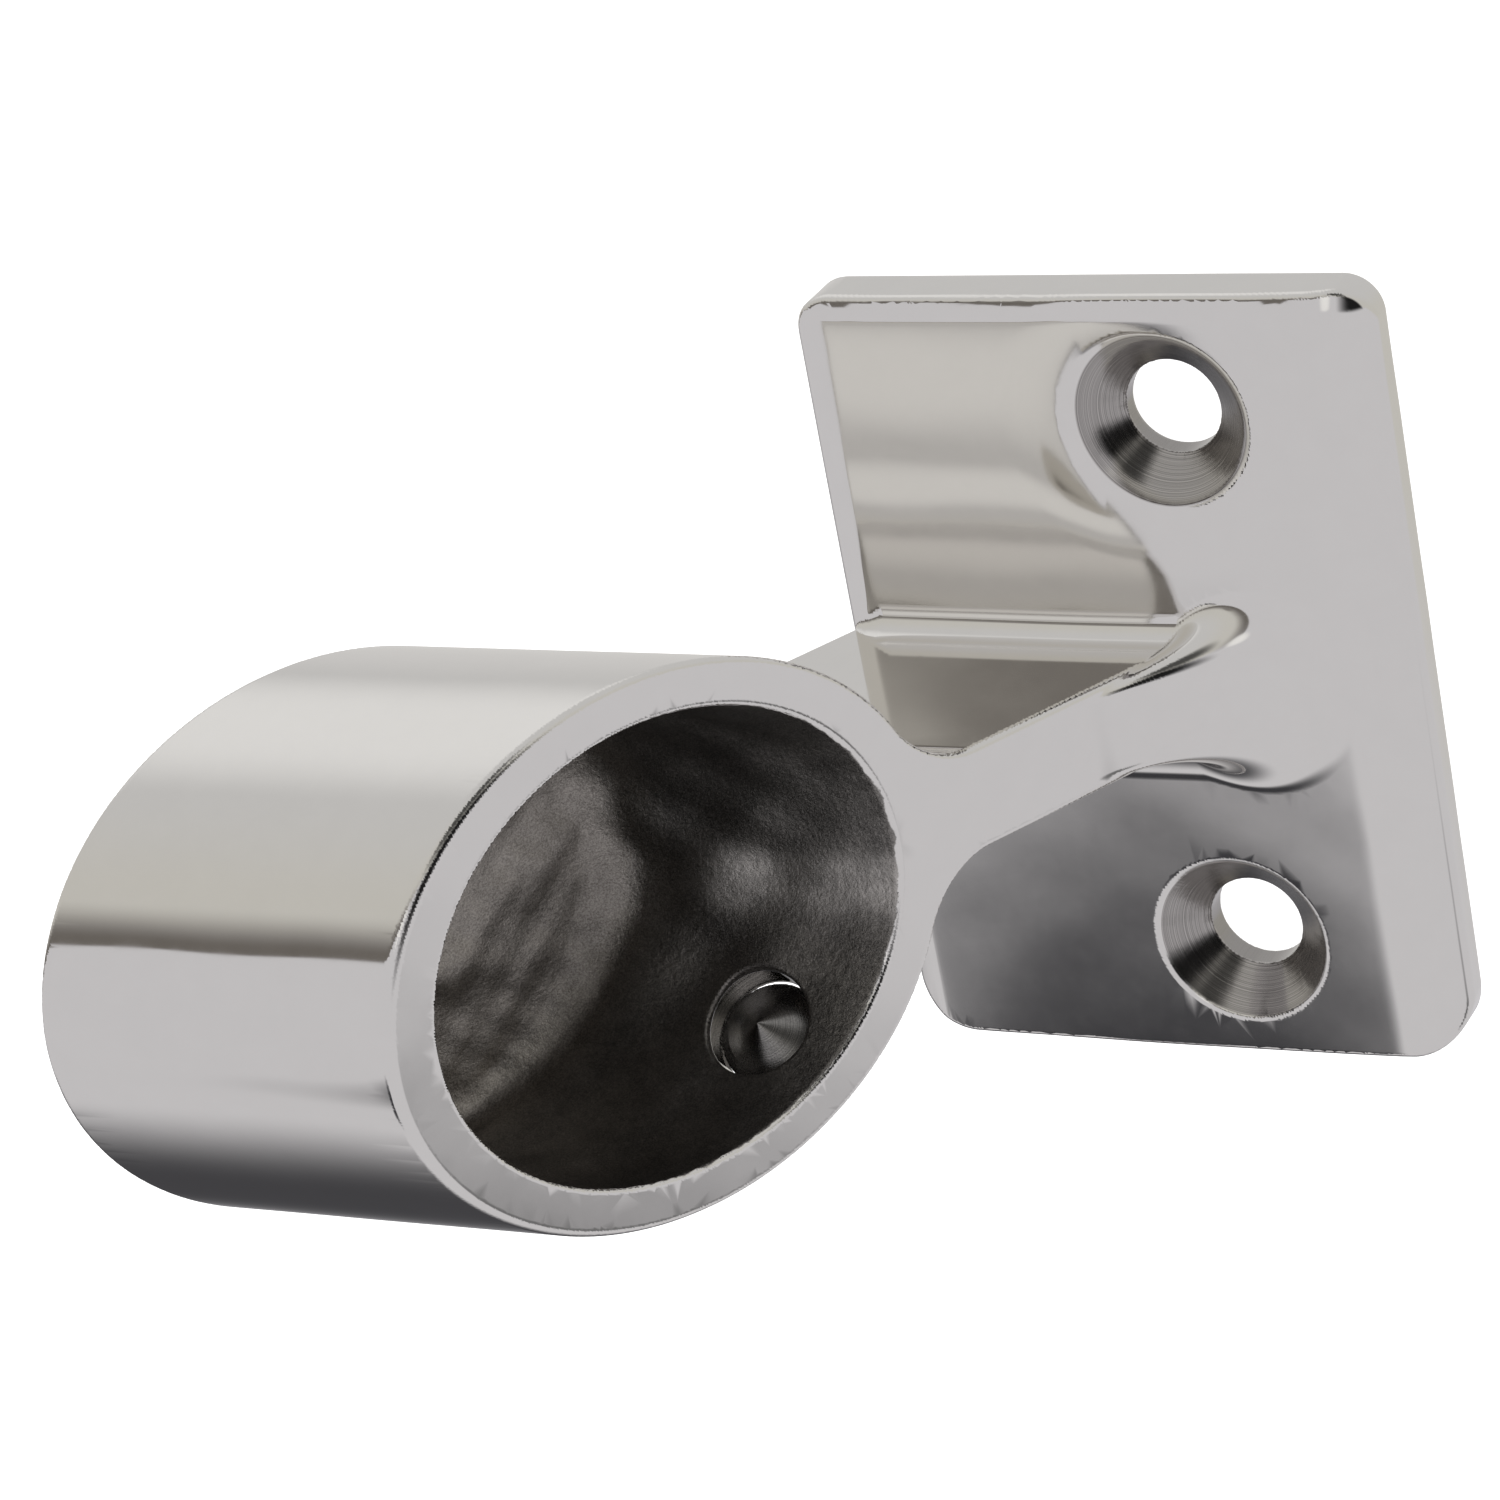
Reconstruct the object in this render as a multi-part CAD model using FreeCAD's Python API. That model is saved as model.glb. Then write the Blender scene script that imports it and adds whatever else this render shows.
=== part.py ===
import FreeCAD, Part
import math
import os
from FreeCAD import Rotation, Vector as V

# A cast stanchion and rail-end base for a 1 in tube. Origin at the centre of the
# mounting face, +Z away from it, +X along the tube axis towards the socket's mouth.

# ---- socket, mm ----
tube_d = 25.4
tube_clearance = 0.1      # radial
wall = 2.6
rake_deg = 29.0           # mouth, back and bore floor lean this far from square
socket_len = 21.4         # along the tube axis, mouth plane to back plane
bore_depth = 17.8         # along the tube axis, mouth plane to floor
bore_draft_deg = 1.5      # the pocket narrows past where a square-cut tube stops
axis_h = 35.7             # tube axis above the mounting face
mouth_edge_r = 0.45       # polished round on the front outline, rim and web
back_edge_r = 0.4
bore_edge_r = 0.25
bore_floor_r = 0.8

# ---- web ----
web_t = 6.0
web_socket_fillet = 3.0   # web to socket
web_foot_fillet = 1.6     # web to plate, +Y side
web_foot_fillet_low = 2.8 # web to plate, -Y side, ground out by hand
web_sweep_r = 8.5         # front of the web sweeping into the plate
web_sweep_stop = 5.0      # degrees short of tangent where the sweep lands

# ---- base plate ----
plate_x = 33.8
plate_y = 46.5
plate_t = 4.0
plate_corner_r = 2.2      # the two +Y corners
plate_corner_low_r = 3.4  # the two -Y corners
plate_top_r = 1.3
plate_under_r = 0.4
hole_inset = 12.55        # hole line from the plate's +X edge
hole_spacing = 32.0
hole_r = 2.75             # clears an M5 screw
csk_r = 5.2               # 90 degree countersink
csk_lip_r = 0.5           # polished over

# ---- set screw, M6 with a cone point ----
screw_angle = 47.5        # round the socket from straight down, towards -Y
screw_setback = 1.2       # behind the mouth, measured at the tube axis
screw_major_r = 2.95      # over the thread crests
screw_core_r = 2.39
screw_pitch = 1.0
screw_len = 6.0
screw_clearance = 0.07    # the tapped hole is drawn plain, this far off the crests
point_deg = 120.0         # short set screws carry the blunt point
hex_af = 3.0
hex_depth = 2.4

# ---- worked out from the above ----
bore_r = tube_d / 2 + tube_clearance
socket_r = bore_r + wall
rake = math.radians(rake_deg)
web_half = web_t / 2
# the back plane meets the plate's upper face at its -X edge
mouth_x = -plate_x / 2 + socket_len + math.tan(rake) * (plate_t - axis_h)
# as deep as a square-cut tube goes before it meets the raked floor
seat_depth = bore_depth - math.tan(rake) * bore_r - bore_floor_r
stem_foot = plate_t / 2   # the stem is rooted half way into the plate


def mouth_at(z):
    """X of the mouth plane at height z."""
    return mouth_x - math.tan(rake) * (z - axis_h)


def line(a, b):
    return Part.makeLine(a, b)


def arc(a, b, c):
    return Part.Arc(a, b, c).toShape()


def slab(front, back, reach=60.0):
    """Everything between two planes parallel to the mouth, front and back of it."""
    low, high = axis_h - reach, axis_h + reach
    pts = [V(mouth_at(low) + front, -reach, low), V(mouth_at(high) + front, -reach, high),
           V(mouth_at(high) - back, -reach, high), V(mouth_at(low) - back, -reach, low)]
    return Part.Face(Part.makePolygon(pts + pts[:1])).extrude(V(0, 2 * reach, 0))


def socket_fillet(side, r):
    """Round between the socket and one side of the web, from the socket outwards."""
    y = web_half + r
    z = -math.sqrt((socket_r + r) ** 2 - y ** 2)
    half = (math.atan2(y, -z) + math.pi / 2) / 2
    on_socket = (y * socket_r / (socket_r + r), z * socket_r / (socket_r + r))
    middle = (y - r * math.sin(half), z + r * math.cos(half))
    return [(side * q[0], q[1]) for q in (on_socket, middle, (web_half, z))]


def section():
    """Socket, web and foot rounds as one outline square to the tube axis, drawn long."""
    reach = 80.0
    foot = plate_t - axis_h
    root = stem_foot - axis_h
    top = socket_fillet(1, web_socket_fillet)
    low = socket_fillet(-1, web_socket_fillet)

    def at(y, z):
        return V(mouth_x - reach, y, axis_h + z)

    def foot_round(side, r):
        k = r * (1 - math.sqrt(0.5))
        return [at(side * web_half, foot + r), at(side * (web_half + k), foot + k),
                at(side * (web_half + r), foot)]

    up = foot_round(1, web_foot_fillet)
    down = foot_round(-1, web_foot_fillet_low)
    edges = [arc(at(*top[0]), at(0, socket_r), at(*low[0])), arc(*[at(*q) for q in low]),
             line(at(*low[2]), down[0]), arc(*down),
             line(down[2], at(-web_half - web_foot_fillet_low, root)),
             line(at(-web_half - web_foot_fillet_low, root), at(web_half + web_foot_fillet, root)),
             line(at(web_half + web_foot_fillet, root), up[2]),
             arc(*reversed(up)), line(up[0], at(*top[2])), arc(*[at(*q) for q in reversed(top)])]
    return Part.Face(Part.Wire(edges)).extrude(V(2 * reach, 0, 0))


def side_view():
    """Outline in the web's plane: raked front, sweep into the plate, raked back."""
    reach = 60.0
    stop = math.radians(web_sweep_stop)
    r = web_sweep_r
    z = plate_t + r * math.cos(stop)
    x = mouth_at(z) + r / math.cos(rake)
    turn = (rake + math.pi / 2 - stop) / 2        # from the front's normal to the sweep's middle
    front = (x - r * math.cos(rake), z - r * math.sin(rake))
    middle = (x - r * math.cos(turn), z - r * math.sin(turn))
    landed = (x - r * math.sin(stop), plate_t)
    high = axis_h + reach
    corners = [landed, (landed[0], stem_foot), (mouth_at(stem_foot) - socket_len, stem_foot),
               (mouth_at(high) - socket_len, high), (mouth_at(high), high), front]

    def at(q):
        return V(q[0], -reach, q[1])

    edges = [line(at(a), at(b)) for a, b in zip(corners, corners[1:])]
    edges.append(arc(at(front), at(middle), at(landed)))
    return Part.Face(Part.Wire(edges)).extrude(V(0, 2 * reach, 0))


def on_plane(edge, back):
    """True for an edge lying in the plane this far behind the mouth plane."""
    first, last = edge.FirstParameter, edge.LastParameter
    points = [edge.valueAt(u) for u in (first, (first + last) / 2, last)]
    return all(abs(p.x - mouth_at(p.z) + back) < 1e-4 for p in points)


def round_outline(shape, back, r):
    return shape.makeFillet(r, [e for e in shape.Edges if on_plane(e, back)])


def plate():
    shape = Part.makeBox(plate_x, plate_y, plate_t, V(-plate_x / 2, -plate_y / 2, 0))
    for side, r in ((1, plate_corner_r), (-1, plate_corner_low_r)):
        upright = [e for e in shape.Edges
                   if abs(e.tangentAt(e.FirstParameter).z) > 0.99 and e.CenterOfMass.y * side > plate_y * 0.4]
        shape = shape.makeFillet(r, upright)
    shape = shape.makeFillet(plate_top_r, [e for e in shape.Edges if e.BoundBox.ZMin > plate_t - 1e-6])
    return shape.makeFillet(plate_under_r, [e for e in shape.Edges if e.BoundBox.ZMax < 1e-6])


def bore():
    """Blind bore: a straight seat for the tube, then a drafted pocket to a raked floor."""
    reach = 60.0
    seat = Part.makeCylinder(bore_r, seat_depth + reach, V(mouth_x - seat_depth, 0, axis_h), V(1, 0, 0))
    deep_r = bore_r - reach * math.tan(math.radians(bore_draft_deg))
    pocket = Part.makeCone(bore_r, deep_r, reach, V(mouth_x - seat_depth, 0, axis_h), V(-1, 0, 0))
    plug = seat.fuse(pocket).common(slab(reach, bore_depth))
    return round_outline(plug, bore_depth, bore_floor_r)


def countersunk_hole(y):
    x = plate_x / 2 - hole_inset
    over = 1.0
    deep = csk_r - hole_r
    drill = Part.makeCylinder(hole_r, plate_t + 2 * over, V(x, y, -over))
    cone = Part.makeCone(hole_r - over, csk_r + over, deep + 2 * over, V(x, y, plate_t - deep - over))
    return drill.fuse(cone)


def screw_direction():
    """Outward from the tube axis."""
    a = math.radians(screw_angle)
    return V(0, -math.sin(a), -math.cos(a))


def screw_point(r):
    return V(mouth_x - screw_setback, 0, axis_h) + screw_direction() * r


def is_circle(edge, r):
    return edge.Curve.TypeId == "Part::GeomCircle" and abs(edge.Curve.Radius - r) < 1e-4


def is_bore_edge(edge):
    p = edge.valueAt(edge.FirstParameter)
    return on_plane(edge, 0) and abs(math.hypot(p.y, p.z - axis_h) - bore_r) < 1e-3


def cast_body():
    stem = section().common(side_view())
    stem = round_outline(stem, 0, mouth_edge_r)
    stem = round_outline(stem, socket_len, back_edge_r)
    body = stem.fuse(plate()).removeSplitter().cut(bore())
    for side in (1, -1):
        body = body.cut(countersunk_hole(side * hole_spacing / 2))
    body = body.makeFillet(bore_edge_r, [e for e in body.Edges if is_bore_edge(e)])
    body = body.makeFillet(csk_lip_r, [e for e in body.Edges if is_circle(e, csk_r)])
    tap_r = screw_major_r + screw_clearance
    return body.cut(Part.makeCylinder(tap_r, socket_r, screw_point(bore_r / 2), screw_direction()))


def thread_ridge():
    """One helical ridge, its foot a little sunk into the core, longer than the screw."""
    root = screw_core_r - 0.06
    half_root = screw_pitch * 0.42
    half_crest = screw_pitch * 0.07
    pts = [V(root, 0, -half_root), V(screw_major_r, 0, -half_crest),
           V(screw_major_r, 0, half_crest), V(root, 0, half_root)]
    helix = Part.makeHelix(screw_pitch, screw_len + 0.85 * screw_pitch, screw_core_r)
    ridge = Part.Wire(helix.Edges).makePipeShell([Part.makePolygon(pts + pts[:1])], True, True)
    ridge.rotate(V(0, 0, 0), V(0, 0, 1), 40)
    return ridge


def key_socket():
    corner = hex_af / 2 / math.cos(math.radians(30))
    floor = screw_len - hex_depth
    ring = [V(corner * math.cos(math.radians(60 * i)), corner * math.sin(math.radians(60 * i)), floor)
            for i in range(7)]
    drill_h = hex_af / 2 / math.tan(math.radians(60))
    drill = Part.makeCone(0, hex_af / 2, drill_h, V(0, 0, floor - drill_h))
    return Part.Face(Part.makePolygon(ring)).extrude(V(0, 0, 2 * hex_depth)).fuse(drill)


def set_screw():
    """Drawn with its point at the origin, then set with its point level with the bore wall."""
    point_h = screw_core_r / math.tan(math.radians(point_deg / 2))
    wide = screw_major_r + 0.2        # the trimming shape stands off the thread's crests
    bevel = wide - screw_core_r
    outline = [V(0, 0, 0), V(screw_core_r, 0, point_h), V(wide, 0, point_h + bevel),
               V(wide, 0, screw_len - bevel), V(screw_core_r, 0, screw_len), V(0, 0, screw_len)]
    envelope = Part.Face(Part.makePolygon(outline + outline[:1])).revolve(V(0, 0, 0), V(0, 0, 1), 360)
    core = Part.makeCylinder(screw_core_r, screw_len).common(envelope)
    screw = core.fuse(thread_ridge().common(envelope)).cut(key_socket())
    screw.Placement = FreeCAD.Placement(screw_point(bore_r), Rotation(V(0, 0, 1), screw_direction()))
    return screw


os.makedirs("parts", exist_ok=True)
for name, make in (("cast_body", cast_body), ("set_screw", set_screw)):
    shape = make()
    print(name, shape.isValid(), len(shape.Solids), round(shape.Volume, 1))
    shape.exportStep("parts/" + name + ".step")
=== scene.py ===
import math
import bpy
import numpy as np
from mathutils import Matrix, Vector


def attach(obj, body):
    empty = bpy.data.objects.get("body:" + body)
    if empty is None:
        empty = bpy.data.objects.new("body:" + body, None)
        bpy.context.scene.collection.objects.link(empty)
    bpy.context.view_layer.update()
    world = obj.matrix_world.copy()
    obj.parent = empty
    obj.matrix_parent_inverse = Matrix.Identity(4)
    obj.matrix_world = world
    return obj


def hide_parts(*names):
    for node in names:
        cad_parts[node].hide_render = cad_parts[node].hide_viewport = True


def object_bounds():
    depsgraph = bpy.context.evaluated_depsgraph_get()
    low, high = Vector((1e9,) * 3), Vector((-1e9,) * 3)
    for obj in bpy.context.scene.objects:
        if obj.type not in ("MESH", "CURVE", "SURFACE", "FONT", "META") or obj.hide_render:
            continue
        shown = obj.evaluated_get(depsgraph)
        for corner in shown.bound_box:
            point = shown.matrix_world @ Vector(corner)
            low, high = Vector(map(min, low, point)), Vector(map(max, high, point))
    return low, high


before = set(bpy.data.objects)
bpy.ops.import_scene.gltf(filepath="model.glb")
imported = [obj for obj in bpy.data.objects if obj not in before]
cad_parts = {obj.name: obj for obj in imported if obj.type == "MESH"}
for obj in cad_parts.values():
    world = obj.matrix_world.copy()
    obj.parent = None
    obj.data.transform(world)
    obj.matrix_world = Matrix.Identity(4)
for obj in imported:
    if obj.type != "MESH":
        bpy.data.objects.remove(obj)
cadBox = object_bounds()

import openvdb
from mathutils import Matrix, Vector

# Polished one-piece rail base: a raked tube socket and web on a countersunk plate,
# with a set screw. Fields and sizes below are in millimetres, objects in metres.

view = {"place": (0.11719, 0.12404, 0.24639), "aim": (-0.01361, 0.00521, 0.02309),
        "roll": -136.976, "lens": 127.20}


def addCamera():
    data = bpy.data.cameras.new("camera")
    data.lens = view["lens"]
    data.sensor_width = 36
    data.clip_start = 0.01
    camera = bpy.data.objects.new("camera", data)
    bpy.context.scene.collection.objects.link(camera)
    place = Vector(view["place"])
    look = (Vector(view["aim"]) - place).to_track_quat("-Z", "Y").to_matrix()
    look = look @ Matrix.Rotation(math.radians(view["roll"]), 3, "Z")
    camera.matrix_world = Matrix.Translation(place) @ look.to_4x4()
    bpy.context.scene.camera = camera


addCamera()
print("camera placed")


# shapes are distance fields, in millimetres and below zero inside the metal
def joined(a, b, r):
    # both together, inner corner rounded by r
    return np.maximum(r, np.minimum(a, b)) - np.hypot(np.maximum(r - a, 0), np.maximum(r - b, 0))


def common(a, b, r):
    # where both are, outer corner rounded by r
    return np.minimum(-r, np.maximum(a, b)) + np.hypot(np.maximum(a + r, 0), np.maximum(b + r, 0))


def slopeOf(field, p, step):
    # the field's gradient at each point, from differences over step each way
    grad = np.empty_like(p)
    for i in range(3):
        move = np.zeros(3)
        move[i] = step
        grad[:, i] = field(*(p + move).T) - field(*(p - move).T)
    return grad / (2 * step)


def settle(field, p, rounds, reach):
    # pulls points onto the surface, by no more than reach in each round
    for _ in range(rounds):
        g = slopeOf(field, p, mesher["fineStep"])
        step = field(*p.T) / np.maximum((g * g).sum(1), 0.25)
        p -= np.clip(step, -reach, reach)[:, None] * g
    return p


mesher = {
    "block": 8,             # cells along each side of a block
    "blocksAtOnce": 250,    # keeps memory low
    "band": 4,              # cells of field kept each side of the surface
    "fineStep": 0.02,       # step for gradients while points settle
    "turned": 6.0,          # degrees a corner's normal may lean from its face
    "inset": 2.5,           # how far into a big face its normals are read, in soft steps
}


def sampledGrid(field, low, high, cell):
    # the field near its zero, block by block, and just inside or outside elsewhere
    block, band = mesher["block"], mesher["band"] * cell
    blocks = [int(math.ceil((h - l) / cell / block)) for l, h in zip(low, high)]
    middles = [l + cell * block * (np.arange(n) + 0.5) for l, n in zip(low, blocks)]
    rough = field(middles[0][:, None, None], middles[1][None, :, None], middles[2][None, None, :])
    rough = np.broadcast_to(rough, blocks)
    values = np.where(rough > 0, band, -band).astype(np.float32)
    near = np.argwhere(np.abs(rough) < cell * block * 1.3)
    for axis in range(3):
        values = np.repeat(values, block, axis)
    offsets = np.stack(np.meshgrid(*[np.arange(block)] * 3, indexing="ij"), -1).reshape(-1, 3)
    for part in np.array_split(near, max(1, len(near) // mesher["blocksAtOnce"])):
        index = (part[:, None, :] * block + offsets[None]).reshape(-1, 3)
        q = low + cell * index
        values[tuple(index.T)] = np.clip(field(*q.T), -band, band)
    grid = openvdb.FloatGrid(band)
    grid.copyFromArray(values)
    return grid


def thinned(piece, ratio):
    # fewer faces where the surface is flat
    thin = piece.modifiers.new("thin", "DECIMATE")
    thin.ratio = ratio
    graph = bpy.context.evaluated_depsgraph_get()
    mesh = bpy.data.meshes.new_from_object(piece.evaluated_get(graph))
    piece.modifiers.clear()
    piece.data = mesh
    return mesh


def cornerNormals(field, p, corners, cell, soft):
    # the field's own normals, one for each corner of each face
    normals = slopeOf(field, p, soft)
    normals = (normals / np.linalg.norm(normals, axis=1)[:, None])[corners]
    # a big face beside an edge takes its normals from just inside itself, so the edge stays narrow
    own = p[corners]
    middle = own.reshape(-1, 3, 3).mean(1).repeat(3, 0)
    flat = np.cross(own[1::3] - own[::3], own[2::3] - own[::3])
    flat = (flat / np.maximum(np.linalg.norm(flat, axis=1), 1e-9)[:, None]).repeat(3, 0)
    away = np.linalg.norm(middle - own, axis=1)
    off = ((flat * normals).sum(1) < math.cos(math.radians(mesher["turned"]))) & (away > 0.5 * cell)
    share = np.clip(mesher["inset"] * soft / away[off], 0.4, 0.7)[:, None]
    inset = own[off] + (middle[off] - own[off]) * share
    inner = slopeOf(field, settle(field, inset, 1, 0.25 * cell), soft * 0.5)
    normals[off] = inner / np.linalg.norm(inner, axis=1)[:, None]
    return normals


def meshFromField(name, field, low, high, cell, soft, most):
    # fine polygons through the zero of a field, no more than most of them
    low = np.array(low, float)
    points, tris, quads = sampledGrid(field, low, high, cell).convertToPolygons(0.0, 0.0)
    p = settle(field, points.astype(float) * cell + low, 2, 0.25 * cell)
    faces = np.concatenate([tris, quads[:, [0, 1, 2]], quads[:, [0, 2, 3]]]).astype(np.int32)
    mesh = bpy.data.meshes.new(name)
    mesh.from_pydata(p.tolist(), [], faces.tolist())
    piece = bpy.data.objects.new(name, mesh)
    bpy.context.scene.collection.objects.link(piece)
    if len(faces) > most:
        mesh = thinned(piece, most / len(faces))
    p = np.empty(len(mesh.vertices) * 3)
    mesh.vertices.foreach_get("co", p)
    p = settle(field, p.reshape(-1, 3), 3, 0.5 * cell)
    mesh.vertices.foreach_set("co", (p * 0.001).ravel())
    corners = np.empty(len(mesh.loops), np.int32)
    mesh.loops.foreach_get("vertex_index", corners)
    a, b, c = (p[corners[n::3]] for n in range(3))
    if (np.cross(b - a, c - a) * slopeOf(field, a, soft)).sum() < 0:
        mesh.flip_normals()
    mesh.update()
    mesh.loops.foreach_get("vertex_index", corners)
    mesh.shade_smooth()
    mesh.normals_split_custom_set(cornerNormals(field, p, corners, cell, soft).tolist())
    print(name, len(p), "points", len(mesh.polygons), "faces of", len(faces))
    return piece


casting = {
    "axisHeight": 35.7, "boreRadius": 12.8, "socketRadius": 15.4, "rake": 29.0, "socketLength": 21.4,
    "boreDepth": 17.8, "seatDepth": 9.9, "draft": 1.5, "floorRound": 1.8,
    "mouthEdge": 0.42, "backEdge": 0.4, "boreEdge": 0.28,
    "webHalf": 3.0, "webSocketRound": 3.0, "footUp": 1.6, "footLow": 2.8, "footFront": 7.2,
    "plateX": 33.8, "plateY": 46.5, "plateT": 4.0, "cornerUp": 2.2, "cornerLow": 3.4,
    "plateEdge": 0.3, "underEdge": 0.4,
    "facetWide": 1.35, "facetDrop": 0.42, "farWide": 4.8, "farDrop": 1.7,   # the polished fall of the plate's edges
    "holeFromEdge": 12.55, "holeSpacing": 32.0, "holeRadius": 2.75, "sinkRadius": 5.2, "sinkLip": 0.13,
    "tapRadius": 3.02, "tapAngle": 47.5, "tapSetback": 1.2,
    "lumps": 0.16, "waves": 0.006,
    "cell": 0.17, "soft": 0.09, "faces": 195000,
    "crown": 0.0010, "dish": 0.3, "dishWide": 4.2,
}
rake = math.radians(casting["rake"])
mouthX = (casting["socketLength"] - casting["plateX"] / 2
          + math.tan(rake) * (casting["plateT"] - casting["axisHeight"]))
holeX = casting["plateX"] / 2 - casting["holeFromEdge"]
tapWay = (-math.sin(math.radians(casting["tapAngle"])), -math.cos(math.radians(casting["tapAngle"])))


def lumpy(x, y, z, size):
    # a slow uneven swell, the same each run
    s = 2 * math.pi / size
    return (np.sin(s * (x + 0.37 * z) + 1.3) * np.sin(s * (0.83 * y - 0.21 * x) + 0.4)
            + 0.6 * np.sin(s * (0.71 * z + 1.31 * y) + 2.1) * np.sin(s * (1.17 * x + 0.5 * z) + 5.0)
            + 0.35 * np.sin(s * (1.9 * z - 1.1 * x) + 0.9) * np.sin(s * 2.3 * y + 3.3))


def plateField(x, y, z):
    c = casting
    corner = np.where(y > 0, c["cornerUp"], c["cornerLow"])
    qx = np.abs(x) - (c["plateX"] / 2 - corner)
    qy = np.abs(y) - (c["plateY"] / 2 - corner)
    side = np.hypot(np.maximum(qx, 0), np.maximum(qy, 0)) + np.minimum(np.maximum(qx, qy), 0) - corner

    def facet(edge, wide, drop):
        t = (wide - edge) / wide
        return drop * 0.5 * (t + np.sqrt(t * t + 0.012))

    near = facet(x + c["plateX"] / 2, c["facetWide"], c["facetDrop"])
    upper = facet(c["plateY"] / 2 - y, c["facetWide"] * 0.9, c["facetDrop"])
    t = np.maximum(c["farWide"] - (c["plateX"] / 2 - x), 0) / c["farWide"]
    fall = np.maximum(near, upper) + c["farDrop"] * t * t * t
    # the buffed face is a little crowned, and pulled down round the upper hole
    fall = fall + c["crown"] * ((x + 1.0) ** 2 + 0.25 * (y + 2.0) ** 2)
    fromHole = np.hypot(x - holeX, y - c["holeSpacing"] / 2)
    ring = np.maximum(c["sinkRadius"] + c["dishWide"] - fromHole, 0) / c["dishWide"]
    fall = fall + c["dish"] * ring * ring * np.clip(0.6 + 0.1 * (holeX - x), 0.1, 1)
    slope = 3 * c["farDrop"] / c["farWide"] * t * t
    top = (z - c["plateT"] + fall) / np.sqrt(1 + slope * slope)
    return common(common(side, top, c["plateEdge"]), -z, c["underEdge"])


def stemField(x, y, z):
    # the tube and the web under it, between the mouth plane and the back plane
    c = casting
    h = z - c["axisHeight"]
    along = x - mouthX + math.tan(rake) * h
    web = np.maximum(np.abs(y) - c["webHalf"], h)
    section = joined(np.hypot(y, h) - c["socketRadius"], web, c["webSocketRound"])
    stem = common(section, along * math.cos(rake), c["mouthEdge"])
    stem = common(stem, (-along - c["socketLength"]) * math.cos(rake), c["backEdge"])
    return np.maximum(stem, 1 - z)


def bodyField(x, y, z):
    # the web's foot runs out into the plate: long in front, short at the sides, none at the plate's edge
    c = casting
    front = np.maximum((x - mouthX + math.tan(rake) * (z - c["axisHeight"])) * math.cos(rake) + 0.8, 0)
    side = np.maximum(np.abs(y) - c["webHalf"] + 0.8, 0)
    ahead = front * front / (front * front + side * side + 1e-4)
    foot = np.where(y > 0, c["footUp"], c["footLow"])
    foot = foot + (c["footFront"] - foot) * ahead
    foot = foot * np.clip((x + c["plateX"] / 2 + 0.2) / 2.5, 0.08, 1)
    return np.maximum(joined(stemField(x, y, z), plateField(x, y, z), foot), -z)


def boreField(x, y, z):
    c = casting
    h = z - c["axisHeight"]
    along = x - mouthX + math.tan(rake) * h
    deep = mouthX - x
    wall = np.hypot(y, h) - c["boreRadius"] + np.maximum(deep - c["seatDepth"], 0) * math.tan(math.radians(c["draft"]))
    inner = np.clip((-along - 2.0) / 6, 0, 1)      # the lip was cleaned up, the rest is as cast
    wall = wall + c["lumps"] * inner * lumpy(x, y, z, 9.0)
    floor = (-along - c["boreDepth"]) * math.cos(rake)
    # a shallow dish and a ridge left in the end wall
    dish = np.exp(-((y - 3.2) ** 2 + (h - 2.6) ** 2) / 18.0)
    ridge = np.exp(-((y + 3.4 - 0.25 * h) ** 2) / 2.2 - (h + 1.5) ** 2 / 30.0)
    floor = floor - 0.55 * dish + 0.5 * ridge + 0.12 * lumpy(x, y, z, 6.5)
    return common(wall, floor, c["floorRound"])


def castField(x, y, z):
    c = casting
    body = bodyField(x, y, z) + c["waves"] * lumpy(x, y, z, 13.0)
    body = common(body, -boreField(x, y, z), c["boreEdge"])
    for side in (1, -1):
        px, py = x - holeX, y - side * c["holeSpacing"] / 2
        out = np.hypot(px, py)
        cone = (out - c["sinkRadius"] + c["plateT"] - z) * math.sqrt(0.5)
        lip = c["sinkLip"]
        if side == 1:      # the upper one is polished over, most towards the tube
            lip = lip + 0.5 * np.clip(-px / np.maximum(out, 0.1), 0, 1) + 0.1
        sink = np.maximum(np.minimum(cone, out - c["holeRadius"]), z - c["plateT"] - 1)
        body = common(body, -sink, lip)
    across = np.hypot(x - (mouthX - c["tapSetback"]), y * tapWay[1] - (z - c["axisHeight"]) * tapWay[0])
    outward = y * tapWay[0] + (z - c["axisHeight"]) * tapWay[1]
    tap = np.maximum(across - c["tapRadius"], 6 - outward)
    return common(body, -tap, 0.2)


def makeCasting():
    margin = 0.9
    low = [q * 1000 - margin for q in cadBox[0]]
    high = [q * 1000 + margin for q in cadBox[1]]
    piece = meshFromField("casting", castField, low, high, casting["cell"], casting["soft"], casting["faces"])
    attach(piece, "body")
    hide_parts("cast_body")
    return piece


setScrew = {"major": 2.95, "core": 2.39, "pitch": 1.0, "length": 6.0, "point": 60.0,
            "hexFlats": 3.0, "hexDepth": 2.4, "cell": 0.085, "soft": 0.02, "faces": 60000}
screwFoot = Vector((mouthX - casting["tapSetback"], tapWay[0] * casting["boreRadius"],
                    casting["axisHeight"] + tapWay[1] * casting["boreRadius"]))


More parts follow.
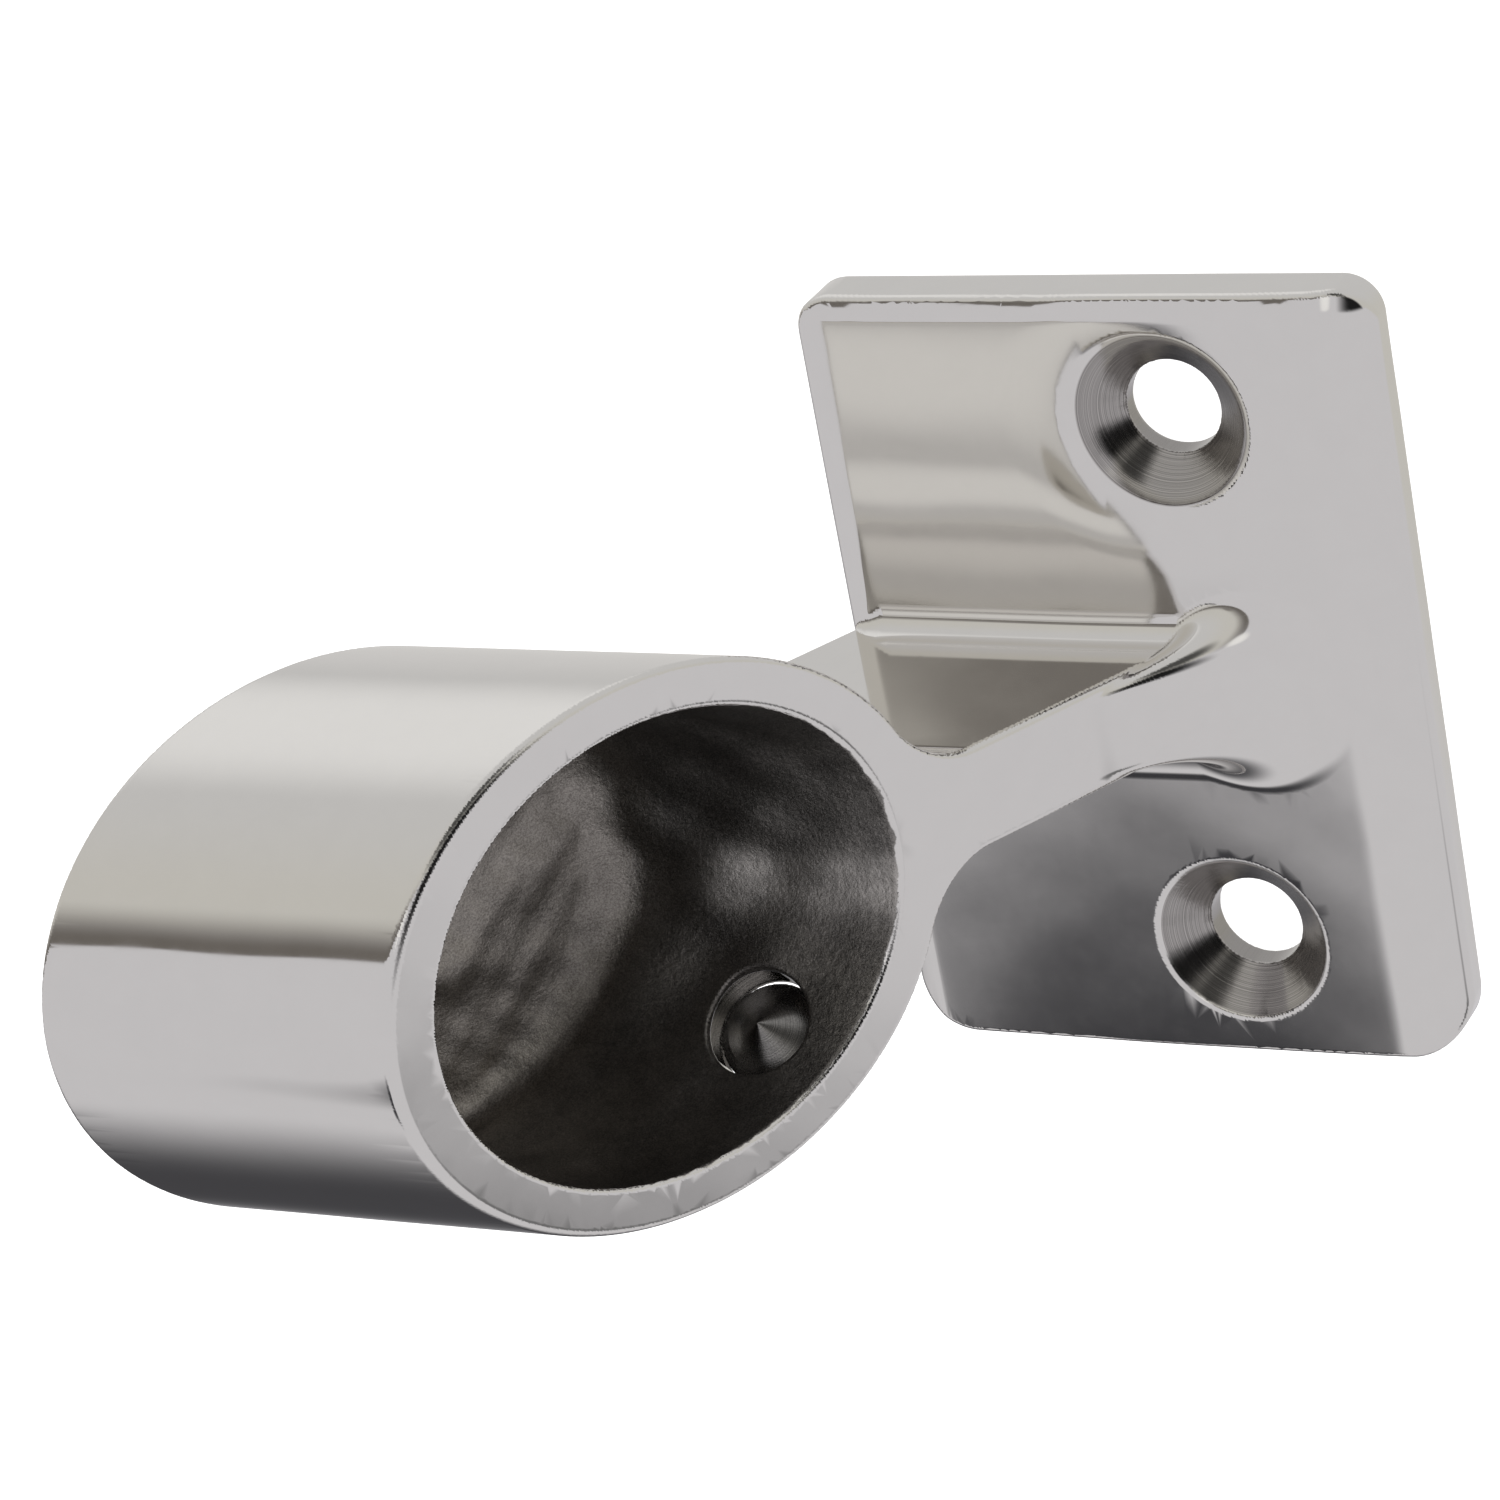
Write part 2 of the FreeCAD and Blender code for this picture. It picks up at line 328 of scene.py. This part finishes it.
def screwField(x, y, z):
    s = setScrew
    out = np.hypot(x, y)
    turn = np.arctan2(y, x) / (2 * math.pi)
    phase = np.abs(((z / s["pitch"] - turn) % 1.0) - 0.5) * 2        # 0 on the crest, 1 in the root
    depth = s["major"] - s["core"]
    thread = s["major"] - depth * np.clip((phase - 0.12) / 0.8, 0, 1)
    body = (out - thread) * 0.66
    cone = (out - z * math.tan(math.radians(s["point"]))) * math.cos(math.radians(s["point"]))
    tail = np.maximum(z - s["length"], (out - s["major"] + depth + (z - s["length"])) * math.sqrt(0.5))
    body = common(common(body, cone, 0.05), tail, 0.08)
    sides = [x * math.cos(a) + y * math.sin(a) for a in (math.pi / 6, math.pi / 2, 5 * math.pi / 6)]
    hexagon = np.maximum(np.maximum(np.abs(sides[0]), np.abs(sides[1])), np.abs(sides[2])) - s["hexFlats"] / 2
    floor = s["length"] - s["hexDepth"] - z
    drill = (out - s["hexFlats"] / 2 + floor * 1.73) * 0.5
    key = np.minimum(np.maximum(hexagon, floor), np.maximum(drill, out - s["hexFlats"] / 2))
    return common(body, -key, 0.05)


def makeSetScrew():
    s = setScrew
    piece = meshFromField("setScrew", screwField, (-3.3, -3.3, -0.3), (3.3, 3.3, 6.4), s["cell"], s["soft"], s["faces"])
    away = Vector((0, tapWay[0], tapWay[1]))
    turn = Vector((0, 0, 1)).rotation_difference(away).to_matrix().to_4x4()
    place = Matrix.Translation(screwFoot * 0.001) @ turn
    normals = [turn.to_3x3() @ Vector(n.vector) for n in piece.data.corner_normals]
    piece.data.transform(place)
    piece.data.normals_split_custom_set([tuple(n) for n in normals])
    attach(piece, "screw")
    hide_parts("set_screw")
    return piece


castPiece = makeCasting()
screwPiece = makeSetScrew()
print("pieces made")


def add(tree, kind, settings=None, **inputs):
    # one node: settings are its own options, inputs are values or other nodes' outputs
    made = tree.nodes.new("ShaderNode" + kind)
    for key, value in (settings or {}).items():
        setattr(made, key, value)
    for key, value in inputs.items():
        slot = made.inputs[int(key[1:])] if key[0] == "i" and key[1:].isdigit() else made.inputs[key.replace("_", " ")]
        if isinstance(value, bpy.types.NodeSocket):
            tree.links.new(value, slot)
        else:
            slot.default_value = value
    return made


def maths(tree, operation, a, b=0.0, c=0.0):
    return add(tree, "Math", {"operation": operation}, i0=a, i1=b, i2=c).outputs[0]


def fade(tree, value, low, high, first=0.0, last=1.0):
    # eases from first at low to last at high
    made = add(tree, "MapRange", {"interpolation_type": "SMOOTHSTEP"}, Value=value)
    made.inputs["From Min"].default_value = low
    made.inputs["From Max"].default_value = high
    made.inputs["To Min"].default_value = first
    made.inputs["To Max"].default_value = last
    return made.outputs["Result"]


def blend(tree, factor, a, b):
    made = add(tree, "Mix", {"data_type": "RGBA"})
    for slot, value in (("Factor_Float", factor), ("A_Color", a), ("B_Color", b)):
        target = next(s for s in made.inputs if s.identifier == slot)
        if isinstance(value, bpy.types.NodeSocket):
            tree.links.new(value, target)
        else:
            target.default_value = value if isinstance(value, float) else (*value, 1.0)
    return next(s for s in made.outputs if s.identifier == "Result_Color")


def newGroup(name, inputs, outputs):
    group = bpy.data.node_groups.new(name, "ShaderNodeTree")
    for label, kind in inputs:
        group.interface.new_socket(label, in_out="INPUT", socket_type=kind)
    for label, kind in outputs:
        group.interface.new_socket(label, in_out="OUTPUT", socket_type=kind)
    return group, group.nodes.new("NodeGroupInput"), group.nodes.new("NodeGroupOutput")


def makeCastGrain():
    # sandy as-cast skin: pebbles, finer grit and the odd bright grain
    group, into, out = newGroup("castGrain", [("Place", "NodeSocketVector"), ("Size", "NodeSocketFloat")],
                                [("Height", "NodeSocketFloat"), ("Tone", "NodeSocketFloat"),
                                 ("Glint", "NodeSocketFloat")])
    place = add(group, "VectorMath", {"operation": "SCALE"}, i0=into.outputs["Place"])
    group.links.new(maths(group, "DIVIDE", 1.0, into.outputs["Size"]), place.inputs["Scale"])
    place = place.outputs[0]
    pebble = add(group, "TexNoise", None, Vector=place, Scale=0.9, Detail=5.0, Roughness=0.62).outputs["Fac"]
    grit = add(group, "TexNoise", None, Vector=place, Scale=3.4, Detail=3.0, Roughness=0.7).outputs["Fac"]
    broad = add(group, "TexNoise", None, Vector=place, Scale=0.16, Detail=5.0, Roughness=0.7).outputs["Fac"]
    height = maths(group, "MULTIPLY_ADD", grit, 0.35, pebble)
    patches = maths(group, "MULTIPLY", fade(group, broad, 0.3, 0.72), 0.4)
    tone = maths(group, "MULTIPLY_ADD", fade(group, grit, 0.35, 0.68), 0.65, patches)
    group.links.new(height, out.inputs["Height"])
    group.links.new(tone, out.inputs["Tone"])
    group.links.new(fade(group, grit, 0.60, 0.70), out.inputs["Glint"])
    return group


def makeTurnedMarks():
    # rings left by a cutter, uneven in depth and with a few chatter marks round them
    group, into, out = newGroup("turnedMarks", [("Radius", "NodeSocketFloat"), ("Place", "NodeSocketVector"),
                                                ("Pitch", "NodeSocketFloat")],
                                [("Height", "NodeSocketFloat"), ("Tone", "NodeSocketFloat")])
    turns = maths(group, "DIVIDE", into.outputs["Radius"], into.outputs["Pitch"])
    ring = add(group, "TexNoise", {"noise_dimensions": "1D"}, W=turns, Scale=1.0, Detail=3.0, Roughness=0.6)
    ring = ring.outputs["Fac"]
    patch = add(group, "TexNoise", None, Vector=into.outputs["Place"], Scale=1.1, Detail=2.0).outputs["Fac"]
    chatter = add(group, "TexNoise", None, Vector=into.outputs["Place"], Scale=5.0, Detail=2.0).outputs["Fac"]
    height = maths(group, "MULTIPLY", ring, fade(group, patch, 0.3, 0.6, 0.4, 1.0))
    height = maths(group, "MULTIPLY_ADD", chatter, 0.25, height)
    group.links.new(height, out.inputs["Height"])
    group.links.new(fade(group, ring, 0.35, 0.65), out.inputs["Tone"])
    return group


castGrain = makeCastGrain()
turnedMarks = makeTurnedMarks()

castFinish = {
    "polish": (0.80, 0.785, 0.765), "polishRough": 0.045,
    "boreDark": (0.12, 0.115, 0.11), "borePale": (0.34, 0.322, 0.305), "boreRough": 0.36, "grainSize": 0.36,
    # the streak colour on the next line is a painted highlight inside the bore
    "boreHighlight": (0.70, 0.67, 0.64), "streakAt": -168.0, "streakWide": 2.4,
    "endDark": (0.20, 0.185, 0.17), "endPale": (0.52, 0.485, 0.45),
    "cut": (0.50, 0.48, 0.465), "cutRough": 0.13, "cutPitch": 0.055,
    "ground": (0.58, 0.575, 0.565), "groundRough": 0.3,
}


def makeCastFinish():
    f = castFinish
    c = casting
    material = bpy.data.materials.new("polishedCasting")
    material.use_nodes = True
    tree = material.node_tree
    shader = tree.nodes["Principled BSDF"]
    shader.inputs["Metallic"].default_value = 1.0
    coord = add(tree, "TexCoord")
    place = add(tree, "VectorMath", {"operation": "SCALE"}, i0=coord.outputs["Object"], Scale=1000.0).outputs[0]
    axes = add(tree, "SeparateXYZ", None, i0=place).outputs
    x, y, z = axes[0], axes[1], axes[2]

    def length(a, b):
        return maths(tree, "SQRT", maths(tree, "ADD", maths(tree, "MULTIPLY", a, a), maths(tree, "MULTIPLY", b, b)))

    # where the bore's as-cast skin is
    h = maths(tree, "SUBTRACT", z, c["axisHeight"])
    along = maths(tree, "MULTIPLY_ADD", h, math.tan(rake), maths(tree, "SUBTRACT", x, mouthX))
    nick = add(tree, "TexNoise", None, Vector=place, Scale=0.8, Detail=4.0).outputs["Fac"]
    edge = maths(tree, "MULTIPLY_ADD", maths(tree, "SUBTRACT", nick, 0.5), 0.5, along)
    inBore = maths(tree, "MULTIPLY", fade(tree, length(y, h), 13.3, 13.2), fade(tree, edge, -0.12, -0.2))
    inBore = maths(tree, "MULTIPLY", inBore, fade(tree, along, -19.4, -19.3))
    # where the countersinks were cut
    fromHoleY = maths(tree, "SUBTRACT", maths(tree, "ABSOLUTE", y), c["holeSpacing"] / 2)
    fromHole = length(maths(tree, "SUBTRACT", x, holeX), fromHoleY)
    low = fade(tree, z, c["plateT"] - 0.2, c["plateT"] - 0.26)
    inCut = maths(tree, "MULTIPLY", fade(tree, fromHole, 5.1, 5.0), low)
    under = fade(tree, z, 0.03, 0.01)

    grain = add(tree, "Group", {"node_tree": castGrain}, Place=place, Size=f["grainSize"]).outputs
    marks = add(tree, "Group", {"node_tree": turnedMarks}, Place=place, Radius=fromHole, Pitch=f["cutPitch"]).outputs
    swell = add(tree, "TexNoise", None, Vector=place, Scale=0.12, Detail=1.0).outputs["Fac"]
    haze = add(tree, "TexNoise", None, Vector=place, Scale=0.5, Detail=5.0, Roughness=0.65).outputs["Fac"]
    lay = add(tree, "Mapping", None, Vector=place)
    lay.inputs["Scale"].default_value = (0.2, 6.0, 1.0)
    groundLines = add(tree, "TexNoise", None, Vector=lay.outputs[0], Scale=1.5, Detail=3.0).outputs["Fac"]

    colour = blend(tree, fade(tree, haze, 0.3, 0.7), [q * 0.985 for q in f["polish"]], f["polish"])
    colour = blend(tree, under, colour, f["ground"])
    cut = blend(tree, marks["Tone"], [q * 0.6 for q in f["cut"]], f["cut"])
    colour = blend(tree, inCut, colour, cut)
    wall = fade(tree, along, -13.0, -17.0)      # the end wall is the browner
    skin = blend(tree, grain["Tone"], f["boreDark"], f["borePale"])
    skin = blend(tree, wall, skin, blend(tree, grain["Tone"], f["endDark"], f["endPale"]))
    skin = blend(tree, maths(tree, "MULTIPLY", grain["Glint"], 0.35), skin, (0.42, 0.40, 0.37))
    # a paler streak along the bore's web side: painted highlight, standing in for the bright band the bore wall
    # reflects
    streakTurn = math.radians(f["streakAt"])
    slant = maths(tree, "MULTIPLY_ADD", y, math.cos(streakTurn), maths(tree, "MULTIPLY", h, -math.sin(streakTurn)))
    streak = fade(tree, maths(tree, "ABSOLUTE", slant), f["streakWide"], 0.4)
    streak = maths(tree, "MULTIPLY", streak, fade(tree, h, -5, -7))
    streak = maths(tree, "MULTIPLY", streak, fade(tree, haze, 0.3, 0.6, 0.5, 1.0))
    streak = maths(tree, "MULTIPLY", streak, fade(tree, along, -14.0, -9.0))
    # blends the paler streak colour in: painted highlight
    skin = blend(tree, maths(tree, "MULTIPLY", streak, 0.8), skin, f["boreHighlight"])
    colour = blend(tree, inBore, colour, skin)
    tree.links.new(colour, shader.inputs["Base Color"])

    rough = fade(tree, haze, 0.25, 0.75, f["polishRough"], f["polishRough"] + 0.035)
    rough = maths(tree, "ADD", rough, maths(tree, "MULTIPLY", under, f["groundRough"]))
    rough = maths(tree, "ADD", rough, maths(tree, "MULTIPLY", inCut, f["cutRough"] - f["polishRough"]))
    rough = maths(tree, "ADD", rough, maths(tree, "MULTIPLY", inBore, f["boreRough"] - f["polishRough"]))
    tree.links.new(rough, shader.inputs["Roughness"])

    # heights in metres
    height = maths(tree, "MULTIPLY", swell, 1.2e-6)
    height = maths(tree, "MULTIPLY_ADD", maths(tree, "MULTIPLY", haze, 2.0e-7), 1.0, height)
    height = maths(tree, "MULTIPLY_ADD", maths(tree, "MULTIPLY", marks["Height"], 5e-6), inCut, height)
    height = maths(tree, "MULTIPLY_ADD", maths(tree, "MULTIPLY", grain["Height"], 5e-5), inBore, height)
    height = maths(tree, "MULTIPLY_ADD", maths(tree, "MULTIPLY", groundLines, 8e-6), under, height)
    bump = add(tree, "Bump", None, Strength=1.0, Distance=1.0, Height=height)
    tree.links.new(bump.outputs[0], shader.inputs["Normal"])
    return material


screwFinish = {"steel": (0.20, 0.195, 0.19), "worn": (0.34, 0.33, 0.32), "rough": 0.2, "pitch": 0.06}


def makeScrewFinish():
    f = screwFinish
    material = bpy.data.materials.new("turnedScrew")
    material.use_nodes = True
    tree = material.node_tree
    shader = tree.nodes["Principled BSDF"]
    shader.inputs["Metallic"].default_value = 1.0
    coord = add(tree, "TexCoord")
    place = add(tree, "VectorMath", {"operation": "SCALE"}, i0=coord.outputs["Object"], Scale=1000.0).outputs[0]
    # distance from the screw's own axis
    reach = add(tree, "VectorMath", {"operation": "SUBTRACT"}, i0=place, i1=tuple(screwFoot)).outputs[0]
    side = add(tree, "VectorMath", {"operation": "CROSS_PRODUCT"}, i0=reach, i1=(0, tapWay[0], tapWay[1])).outputs[0]
    out = add(tree, "VectorMath", {"operation": "LENGTH"}, i0=side).outputs["Value"]
    marks = add(tree, "Group", {"node_tree": turnedMarks}, Place=place, Radius=out, Pitch=f["pitch"]).outputs
    grain = add(tree, "Group", {"node_tree": castGrain}, Place=place, Size=0.3).outputs
    colour = blend(tree, marks["Tone"], f["steel"], f["worn"])
    colour = blend(tree, maths(tree, "MULTIPLY", grain["Tone"], 0.25), colour, (0.09, 0.088, 0.085))
    tree.links.new(colour, shader.inputs["Base Color"])
    tree.links.new(fade(tree, grain["Tone"], 0.0, 1.4, f["rough"], f["rough"] + 0.15), shader.inputs["Roughness"])
    height = maths(tree, "MULTIPLY", marks["Height"], 6e-6)
    bump = add(tree, "Bump", None, Strength=1.0, Distance=1.0, Height=height)
    tree.links.new(bump.outputs[0], shader.inputs["Normal"])
    return material


castPiece.data.materials.append(makeCastFinish())
screwPiece.data.materials.append(makeScrewFinish())
print("finishes made")


studio = {
    "side": (0.8876, -0.1813, -0.4234), "up": (-0.0345, 0.8905, -0.4537), "near": (0.4593, 0.4173, 0.7842),
    "strength": 0.95, "floor": 1.0,
}


def wayTo(turn, rise):
    # a direction from degrees round from the camera's side and degrees up
    a, e = math.radians(turn), math.radians(rise)
    side, up, near = (Vector(studio[k]) for k in ("side", "up", "near"))
    return (side * math.sin(a) + near * math.cos(a)) * math.cos(e) + up * math.sin(e)


# soft panels and dark cloths round the table: turn, rise, inner and outer degrees, colour, how much
panels = [
    (-120, 64, 4, 32, (0.98, 0.975, 0.965), 0.75),
    (-168, 20, 4, 26, (0.74, 0.73, 0.73), 0.6),
    (-165, -38, 0, 47, (0.02, 0.02, 0.025), 0.93),
    (-72, -55, 3.0, 11.3, (0.03, 0.03, 0.035), 0.97),
    (-51, 1.5, 1.0, 5.0, (0.23, 0.215, 0.20), 0.9),
    (78, -37, 3, 13, (0.10, 0.10, 0.10), 0.85),
    (25, -6, 9, 27, (0.015, 0.015, 0.015), 1.0),
    (2, 22, 6, 22, (0.02, 0.02, 0.02), 0.9),
    (-14, -8, 2, 8, (1.0, 0.99, 0.97), 0.9),
]


def makeSurroundings():
    world = bpy.data.worlds.new("studio")
    bpy.context.scene.world = world
    world.use_nodes = True
    tree = world.node_tree
    background = tree.nodes["Background"]
    way = add(tree, "TexCoord").outputs["Generated"]
    rise = add(tree, "VectorMath", {"operation": "DOT_PRODUCT"}, i0=way, i1=studio["up"]).outputs["Value"]
    # cool below the table's edge, warm just above it, neutral overhead
    colour = blend(tree, fade(tree, rise, 0.2, 0.75), (0.655, 0.64, 0.60), (0.665, 0.66, 0.655))
    colour = blend(tree, fade(tree, rise, -0.08, 0.05), (0.69, 0.68, 0.70), colour)
    # the far edge of the table: sharp below, soft above, on the left only
    line = maths(tree, "MULTIPLY", fade(tree, rise, -0.118, -0.102), fade(tree, rise, 0.16, -0.07))
    left = add(tree, "VectorMath", {"operation": "DOT_PRODUCT"}, i0=way, i1=tuple(wayTo(-75, 0)))
    left = left.outputs["Value"]
    line = maths(tree, "MULTIPLY", line, fade(tree, left, 0.2, 0.75))
    colour = blend(tree, line, colour, (0.17, 0.155, 0.14))
    for turn, lift, inner, outer, tone, much in panels:
        near = add(tree, "VectorMath", {"operation": "DOT_PRODUCT"}, i0=way, i1=tuple(wayTo(turn, lift)))
        near = near.outputs["Value"]
        amount = fade(tree, near, math.cos(math.radians(outer)), math.cos(math.radians(inner)), 0.0, much)
        colour = blend(tree, amount, colour, tone)
    tree.links.new(colour, background.inputs["Color"])
    background.inputs["Strength"].default_value = studio["strength"]


def makeFloor():
    mesh = bpy.data.meshes.new("floor")
    half = 3.0
    corners = [(-half, -half, 0), (half, -half, 0), (half, half, 0), (-half, half, 0)]
    mesh.from_pydata(corners, [], [(0, 1, 2, 3)])
    floor = bpy.data.objects.new("floor", mesh)
    floor.location.z = -0.0002
    bpy.context.scene.collection.objects.link(floor)
    material = bpy.data.materials.new("paleFloor")
    material.use_nodes = True
    shader = material.node_tree.nodes["Principled BSDF"]
    shader.inputs["Base Color"].default_value = (0.9, 0.9, 0.9, 1)
    shader.inputs["Roughness"].default_value = 0.9
    shader.inputs["Specular IOR Level"].default_value = 0.0
    shader.inputs["Emission Color"].default_value = (1, 1, 1, 1)
    shader.inputs["Emission Strength"].default_value = studio["floor"]
    mesh.materials.append(material)
    floor.visible_glossy = False      # the steel reflects the studio, not the table
    floor.visible_diffuse = False


makeSurroundings()
makeFloor()
bpy.context.scene.view_settings.view_transform = "Standard"
print("studio made")
